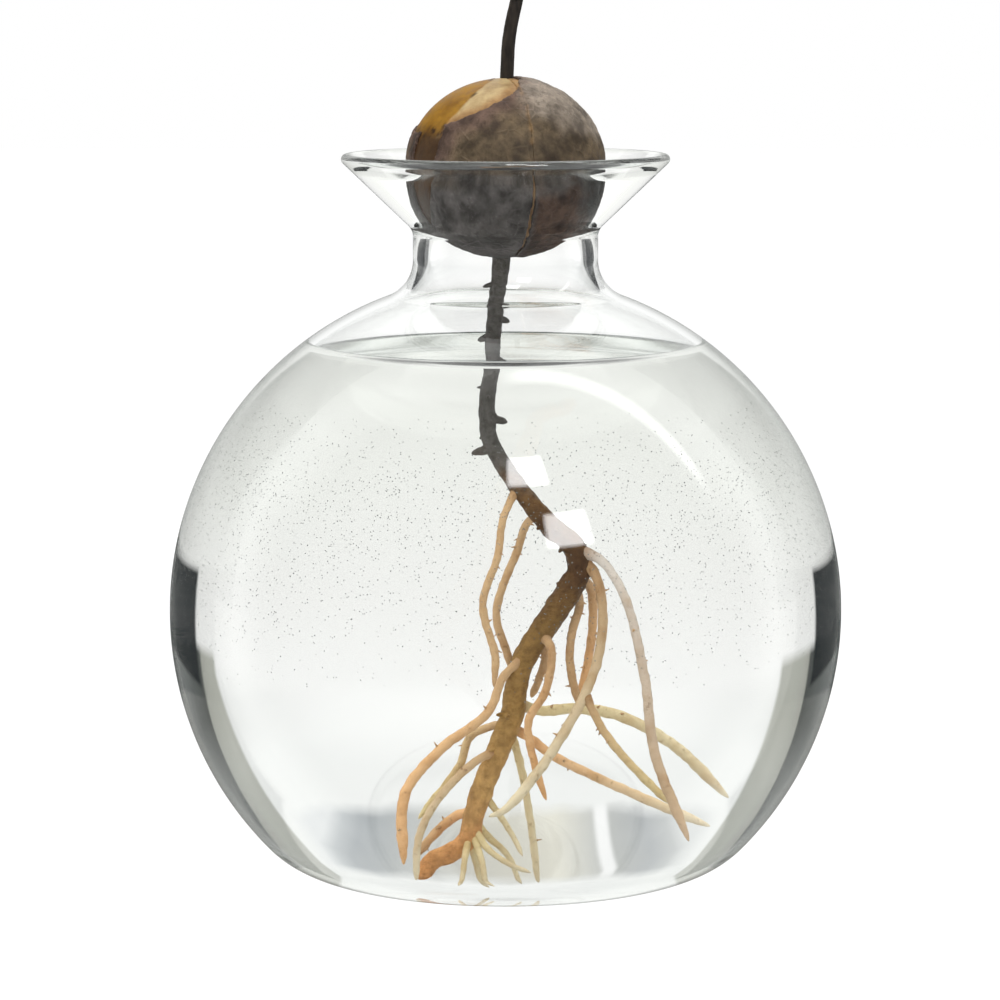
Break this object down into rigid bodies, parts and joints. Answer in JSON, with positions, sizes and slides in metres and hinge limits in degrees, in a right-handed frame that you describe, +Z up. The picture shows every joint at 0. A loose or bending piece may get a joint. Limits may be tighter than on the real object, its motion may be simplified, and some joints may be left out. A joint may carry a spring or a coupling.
{
  "type": "hydroponic glass vase",
  "caption": "Round blown-glass vase with a flat foot, short neck and funnel mouth that seats a sprouted avocado stone, whose roots hang in the water inside.",
  "frame": {"origin": "centre of the foot, on the surface that the vase stands on", "axes": "+Z up along the vase's axis, -Y towards the viewer of the picture, +X to the viewer's right"},
  "size_m": [0.128, 0.128, 0.1887],
  "materials": {
    "glass": "clear blown glass, smooth",
    "water": "clear water, faintly grey",
    "cotyledon": "smooth cream to ochre flesh",
    "seed_coat": "dry papery skin, olive grey brown",
    "seed_coat_dark": "dry papery skin, dark red brown",
    "embryo": "pale plant tissue",
    "stem": "smooth near-black stem",
    "bud": "dark olive bud scales",
    "taproot": "rough bark, dark grey above and brown below",
    "root": "smooth tan root",
    "fine_root": "pale cream root"
  },
  "bodies": {
    "vase": {"glass_vase": "glass"},
    "water": {"water": "water"},
    "plant": {"cotyledon_left": "cotyledon", "cotyledon_right": "cotyledon", "seed_coat_left": "seed_coat", "seed_coat_right": "seed_coat_dark", "embryo_axis": "embryo", "shoot_stem": "stem", "apical_bud": "bud", "scale_leaf_1": "bud", "scale_leaf_2": "bud", "scale_leaf_3": "bud", "taproot": "taproot", "lateral_root_01": "root", "lateral_root_02": "root", "lateral_root_03": "root", "lateral_root_04": "root", "lateral_root_05": "root", "lateral_root_06": "root", "lateral_root_07": "root", "lateral_root_08": "root", "lateral_root_09": "root", "lateral_root_10": "root", "lateral_root_11": "root", "lateral_root_12": "root", "lateral_root_13": "root", "lateral_root_14": "root", "lateral_root_15": "root", "lateral_root_16": "root", "fine_root_1": "fine_root", "fine_root_2": "fine_root", "fine_root_3": "fine_root", "fine_root_4": "fine_root", "fine_root_5": "fine_root", "fine_root_6": "fine_root"}
  },
  "joints": [
    {"name": "plant_turn", "type": "hinge", "parent": "vase", "child": "water", "pos_m": [0, 0, 0.1], "axis": [0, 0, 1], "continuous": true},
    {"name": "plant_lift", "type": "slide", "parent": "water", "child": "plant", "axis": [0, 0, 1], "range_m": [0, 0.14], "deforming": ["water", "lateral_root_06", "lateral_root_07", "lateral_root_08", "lateral_root_09", "lateral_root_12"]}
  ]
}
